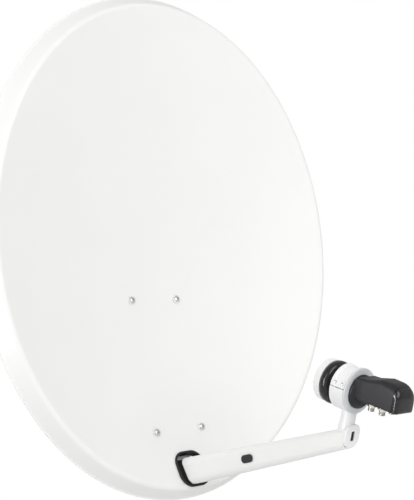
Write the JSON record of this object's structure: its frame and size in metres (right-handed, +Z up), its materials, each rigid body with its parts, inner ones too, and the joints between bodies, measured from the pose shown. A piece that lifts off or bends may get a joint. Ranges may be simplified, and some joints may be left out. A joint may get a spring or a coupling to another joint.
{
  "type": "offset satellite dish",
  "caption": "Offset satellite dish on a mast clamp, with a tapered feed arm and a multi-output converter head in a split ring.",
  "frame": {"origin": "centre of the mast clamp, on the mast's axis", "axes": "+Z up along the mast, dish facing -Y, X across the dish"},
  "size_m": [0.7878, 0.7563, 0.8755],
  "materials": {
    "dish_paint": "off-white powder coat, satin",
    "arm_paint": "off-white powder coat, satin",
    "bracket_paint": "grey powder coat, satin",
    "zinc_steel": "bright zinc plate",
    "nickel": "nickel plate",
    "cast_metal": "plain casting",
    "grey_plastic": "off-white moulding, fine grain",
    "pale_plastic": "pale grey moulding",
    "light_plastic": "off-white moulding",
    "dark_plastic": "anthracite moulding, fine grain",
    "gloss_black": "polished black moulding",
    "seal_rubber": "black rubber",
    "board_green": "solder mask"
  },
  "bodies": {
    "mast_side": {"mast_bracket": "bracket_paint", "clamp_bolts": "zinc_steel", "pivot_bolt": "zinc_steel", "pivot_washer": "zinc_steel", "pivot_nut": "zinc_steel", "lock_bolts": "zinc_steel", "lock_washers": "zinc_steel", "lock_nuts": "zinc_steel"},
    "upper_jaw": {"upper_clamp_jaw": "bracket_paint", "upper_clamp_washers": "zinc_steel", "upper_clamp_nuts": "zinc_steel"},
    "lower_jaw": {"lower_clamp_jaw": "bracket_paint", "lower_clamp_washers": "zinc_steel", "lower_clamp_nuts": "zinc_steel"},
    "dish_side": {"reflector": "dish_paint", "reflector_bolts": "zinc_steel", "front_washers": "light_plastic", "bracket_spacers": "dark_plastic", "reflector_nuts": "zinc_steel", "back_bracket": "bracket_paint", "arm_collar": "dark_plastic", "feed_arm": "arm_paint", "arm_socket": "dark_plastic", "arm_bolts": "zinc_steel", "arm_bolt_washers": "zinc_steel", "side_plug": "dark_plastic", "lnb_holder": "grey_plastic", "clamp_cap": "grey_plastic", "clamp_cap_screws": "zinc_steel", "slot_plug": "dark_plastic"},
    "focus_sleeve": {"adapter_sleeve": "pale_plastic"},
    "converter": {"feed_horn": "cast_metal", "horn_ring": "gloss_black", "feed_cap": "light_plastic", "cap_seal": "seal_rubber", "lnb_housing": "dark_plastic", "rear_hood": "gloss_black", "circuit_board": "board_green", "coax_connectors": "nickel", "connector_insulators": "light_plastic"}
  },
  "joints": [
    {"name": "elevation_tilt", "type": "hinge", "parent": "mast_side", "child": "dish_side", "pos_m": [0, -0.085, 0.024], "axis": [1, 0, 0], "range_deg": [-17, 23]},
    {"name": "upper_jaw_slide", "type": "slide", "parent": "mast_side", "child": "upper_jaw", "axis": [0, 1, 0], "range_m": [-0.016, 0.012]},
    {"name": "lower_jaw_slide", "type": "slide", "parent": "mast_side", "child": "lower_jaw", "axis": [0, 1, 0], "range_m": [-0.016, 0.012]},
    {"name": "focus_slide", "type": "slide", "parent": "dish_side", "child": "focus_sleeve", "axis": [0, -0.975, -0.2221], "range_m": [0, 0.005]},
    {"name": "converter_skew", "type": "hinge", "parent": "focus_sleeve", "child": "converter", "pos_m": [0, -0.55657, -0.01292], "axis": [0, -0.975, -0.2221], "range_deg": [-30, 30]}
  ]
}
